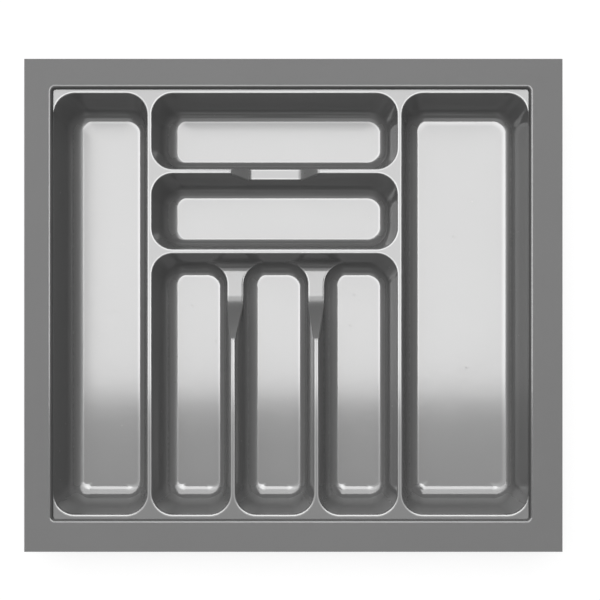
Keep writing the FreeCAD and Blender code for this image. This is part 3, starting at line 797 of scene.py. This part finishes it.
# %% Wires and the bench
class Wire:
    """One output socket of a material, with arithmetic."""

    def __init__(self, bench, socket):
        self.bench, self.socket = bench, socket

    def math(self, operation, first, second):
        """The result of one Math node."""
        return self.bench.node("ShaderNodeMath", {"operation": operation}, {0: first, 1: second})

    def __add__(self, other):
        return self.math("ADD", self, other)

    def __radd__(self, other):
        return self.math("ADD", other, self)

    def __sub__(self, other):
        return self.math("SUBTRACT", self, other)

    def __rsub__(self, other):
        return self.math("SUBTRACT", other, self)

    def __mul__(self, other):
        return self.math("MULTIPLY", self, other)

    def __rmul__(self, other):
        return self.math("MULTIPLY", other, self)


class Bench:
    """The nodes of one material or of the world."""

    def __init__(self, owner):
        owner.use_nodes = True
        self.tree = owner.node_tree
        self.tree.nodes.clear()

    def node(self, kind, settings=None, inputs=None, output=0):
        """A node of that kind: settings first, then numbers, colours or wires for its sockets. Returns one output."""
        made = self.tree.nodes.new(kind)
        for name, value in (settings or {}).items():
            setattr(made, name, value)
        for key, value in (inputs or {}).items():
            if isinstance(value, Wire):
                self.tree.links.new(value.socket, made.inputs[key])
            else:
                made.inputs[key].default_value = value
        return Wire(self, made.outputs[output]) if made.outputs else None

    def between(self, wire, low, high, to_low=0.0, to_high=1.0):
        """The wire's value, mapped from one range to another and clamped."""
        return self.node("ShaderNodeMapRange", {"clamp": True},
                         {"Value": wire, "From Min": low, "From Max": high, "To Min": to_low, "To Max": to_high})

    def noise(self, scale, detail=2.0, stretch=(1.0, 1.0, 1.0)):
        """Noise with that many lumps to the metre, stretched along the axes of the tray."""
        where = self.node("ShaderNodeTexCoord", output="Object")
        where = self.node("ShaderNodeMapping", {}, {"Vector": where, "Scale": stretch})
        return self.node("ShaderNodeTexNoise", {}, {"Vector": where, "Scale": scale, "Detail": detail}, "Fac")

    def grey(self, wire):
        """A grey colour of that brightness."""
        return self.node("ShaderNodeCombineColor", {}, {"Red": wire, "Green": wire, "Blue": wire})


print("wires can be added, subtracted and multiplied")

# %% [markdown]
# The bays and the deck are silver-grey sheet with a metal shimmer in it, formed over a smooth tool. Seen close, such a
# surface has a faint ripple from the forming, fine rubbing marks, a few specks of dust, and less shine where the sheet
# is stretched round a bend. The grey also carries painted highlights along creases and edges and on the front walls,
# and painted shade on the flats. A plain grey would lose all of that, so each gets a mask.

# %% Glossy sheet
SHEET_TONE = 0.235     # brightness of the grey
CLOUDING = 0.06        # how much of it comes and goes over the sheet
PAINTED_GLINT_GAIN = 0.35      # how much paler a full painted highlight is
SPECK_DARK = 0.45      # how much darker a speck is
SPECK_EDGE = (0.045, 0.03)      # a speck fades between these distances from its middle
RUB_RANGE = (0.35, 0.7)         # noise between which the rubbing marks come in
SHEET_ROUGH = (0.105, 0.135)    # roughness beside the marks and on them
SPECK_ROUGH = 0.3      # roughness that a speck adds
DRAWN_ROUGH = 0.22     # roughness that stretching adds
SHIMMER = 0.5          # how metallic the sheet is
RIPPLE_HEIGHT = 0.00006
PEEL_HEIGHT = 0.0000012


def glossy_sheet(name):
    """Grey formed plastic with a soft mirror shine."""
    material = bpy.data.materials.new(name)
    bench = Bench(material)
    cloud = bench.noise(9.0, 3.0)
    rubbed = bench.noise(60.0, 4.0, (1.0, 9.0, 1.0))
    peel = bench.noise(850.0, 1.0)
    ripple = bench.noise(26.0, 1.0)
    dust = bench.node("ShaderNodeTexVoronoi", {}, {"Vector": bench.node("ShaderNodeTexCoord", output="Object"),
                                                   "Scale": 55.0}, "Distance")
    speck = bench.between(dust, *SPECK_EDGE)
    glint = bench.node("ShaderNodeAttribute", {"attribute_name": "glint"}, {}, "Fac")
    drawn = bench.node("ShaderNodeAttribute", {"attribute_name": "drawn"}, {}, "Fac")
    mottled = SHEET_TONE * (1.0 - CLOUDING / 2 + CLOUDING * cloud)
    # painted highlights and painted shade: the glint mark makes the grey paler or darker
    tone = mottled * (1.0 + PAINTED_GLINT_GAIN * glint) * (1.0 - SPECK_DARK * speck)
    height = RIPPLE_HEIGHT * ripple + PEEL_HEIGHT * peel
    bump = bench.node("ShaderNodeBump", {}, {"Strength": 0.35, "Distance": 1.0, "Height": height})
    shader = bench.node("ShaderNodeBsdfPrincipled", {}, {
        "Base Color": bench.grey(tone),
        "Roughness": bench.between(rubbed, *RUB_RANGE, *SHEET_ROUGH) + SPECK_ROUGH * speck + DRAWN_ROUGH * drawn,
        "Metallic": SHIMMER,
        "Normal": bump,
    })
    bench.node("ShaderNodeOutputMaterial", {}, {"Surface": shader})
    return material


sheet_finish = glossy_sheet("glossy_sheet")
for piece in tray_pieces:
    piece.data.materials.append(sheet_finish)
print("glossy sheet on", len(tray_pieces), "pieces")

# %% [markdown]
# The flat of the rim is matt, with a fine even grain that keeps it from scuffing in the drawer. Where it rolls over
# into the step it takes the shine of the rest of the sheet. Height alone tells the two apart, so height is the mask.

# %% Matt rim
RIM_TONE = 0.157       # brightness of the grey
RIM_CLOUD = 0.010      # what slow clouds add to it
RIM_GRAIN = 0.014      # what the grain adds on the flat
ROLL_ROUGH = 0.15      # roughness of the roll and the step
FLAT_ROUGH = 0.5       # roughness that the flat adds
FLAT_START = 0.014     # depths under the top between which the flat turns matt
FLAT_FULL = 0.002


def matt_rim(name):
    """Grey rim: grained and matt on top, glossy and with the sheet's shimmer on the roll and the step."""
    material = bpy.data.materials.new(name)
    bench = Bench(material)
    where = bench.node("ShaderNodeTexCoord", output="Object")
    height = bench.node("ShaderNodeSeparateXYZ", {}, {0: where}, "Z")
    flat = bench.between(height, (RIM_TOP - FLAT_START) * MM, (RIM_TOP - FLAT_FULL) * MM)
    cloud = bench.noise(12.0, 3.0)
    grain = bench.noise(1400.0, 2.0)
    tone = RIM_TONE + RIM_CLOUD * cloud + RIM_GRAIN * grain * flat
    bump = bench.node("ShaderNodeBump", {}, {"Strength": 0.3, "Distance": 0.00006, "Height": grain * flat})
    shader = bench.node("ShaderNodeBsdfPrincipled", {}, {
        "Base Color": bench.grey(tone),
        "Roughness": ROLL_ROUGH + FLAT_ROUGH * flat,
        "Metallic": SHIMMER - SHIMMER * flat,
        "Normal": bump,
    })
    bench.node("ShaderNodeOutputMaterial", {}, {"Surface": shader})
    return material


rim.data.materials.append(matt_rim("matt_rim"))
print("matt rim ready")

# %% [markdown]
# The tray lies on a white floor that keeps its shadow. The floor glows a little for the camera and in reflections, so
# that it stays white without more light on the tray. The world is pale at the horizon, where a backdrop would stand,
# and a dim grey overhead.

# %% Floor and world
FLOOR_HALF = 6.0       # half the floor's width, in metres
FLOOR_GREY = (0.22, 0.22, 0.22, 1.0)
FLOOR_GLOW = 0.82
OVERHEAD = 0.16        # brightness of the world overhead, where it is 1 at the horizon
FADE_TOP = 0.4         # how high the pale horizon reaches


def seen_directly(bench):
    """1 for rays that show the background itself: from the camera, off gloss, or through glass."""
    paths = [bench.node("ShaderNodeLightPath", output=name)
             for name in ("Is Camera Ray", "Is Glossy Ray", "Is Transmission Ray")]
    return bench.between(paths[0] + paths[1] + paths[2], 0.0, 1.0)


floor_mesh = bpy.data.meshes.new("floor")
corners = np.array([(-1, -1, 0), (1, -1, 0), (1, 1, 0), (-1, 1, 0)]) * FLOOR_HALF
floor_mesh.from_pydata(corners, [], [(0, 1, 2, 3)])
floor = bpy.data.objects.new("floor", floor_mesh)
bpy.context.scene.collection.objects.link(floor)
floor_paint = bpy.data.materials.new("floor_paint")
bench = Bench(floor_paint)
matt = bench.node("ShaderNodeBsdfDiffuse", {}, {"Color": FLOOR_GREY})
glow = bench.node("ShaderNodeEmission", {}, {"Strength": FLOOR_GLOW * seen_directly(bench)})
both = bench.node("ShaderNodeAddShader", {}, {0: matt, 1: glow})
bench.node("ShaderNodeOutputMaterial", {}, {"Surface": both})
floor_mesh.materials.append(floor_paint)

world = bpy.data.worlds.new("studio")
bpy.context.scene.world = world
bench = Bench(world)
upward = bench.node("ShaderNodeSeparateXYZ", {}, {0: bench.node("ShaderNodeTexCoord", output="Generated")}, "Z")
fade = bench.between(upward, 0.0, FADE_TOP, 1.0, 0.0)
sky = bench.node("ShaderNodeBackground", {}, {
    "Color": (1.0, 1.0, 1.0, 1.0),
    "Strength": OVERHEAD + (1.0 - OVERHEAD) * fade * fade,
})
bench.node("ShaderNodeOutputWorld", {}, {"Surface": sky})
print("floor and world ready")

# %% [markdown]
# Soft panels hang level, high over the tray, as the lamps of a studio ceiling. The bright floors are the mirror image
# of the inner panel and turn grey towards the front, where it ends. The wide one reaches far to the left and the back,
# so the right and the front walls catch it by way of the floors, and the left walls stay dark. The corner panel
# lengthens it at the back right, so that the bright band at the front of a floor also runs round the floor's left
# corner. The two in front are dim and fall off: they light the rim evenly and keep the front end of the floors grey.

# %% Light
def soft_panel(name, centre, size, radiance):
    """A flat lamp of that size, facing down. Its power is the radiance times pi times its area."""
    lamp = bpy.data.lights.new(name, "AREA")
    lamp.shape = "RECTANGLE"
    lamp.size, lamp.size_y = size
    lamp.energy = float(radiance * np.pi * size[0] * size[1])
    panel = bpy.data.objects.new(name, lamp)
    panel.location = centre
    bpy.context.scene.collection.objects.link(panel)
    print(f"{name}: {size[0]:.2f} by {size[1]:.2f} m, {lamp.energy:.0f} W")
    return panel


soft_panel("wide_panel", centre=(-1.85, 3.432, 6.0), size=(8.3, 7.136), radiance=2.25)
soft_panel("corner_panel", centre=(2.95, 4.8, 6.0), size=(1.3, 4.4), radiance=2.25)
soft_panel("inner_panel", centre=(0.025, 0.992, 5.9), size=(3.85, 2.256), radiance=1.95)
soft_panel("front_panel", centre=(-0.6, -0.95, 6.0), size=(7.2, 1.6), radiance=1.0)
soft_panel("far_front_panel", centre=(-0.6, -3.875, 6.0), size=(7.2, 4.25), radiance=0.55)

# %% [markdown]
# The photograph is taken from straight above with the image plane level, so no edge leans. The tray sits off the lens's
# axis, as a cropped frame shows it, and the lens shift stands for that crop.

# %% Camera
camera = bpy.data.cameras.new("camera")
camera.sensor_width = 36.0
camera.lens = 60.36
camera.shift_x = -0.025
camera.shift_y = 0.15
camera_object = bpy.data.objects.new("camera", camera)
camera_object.location = (0.0215, -0.08415, 1.0495)
bpy.context.scene.collection.objects.link(camera_object)
bpy.context.scene.camera = camera_object
bpy.context.scene.view_settings.view_transform = "Standard"
print("camera at", tuple(round(v, 4) for v in camera_object.location))
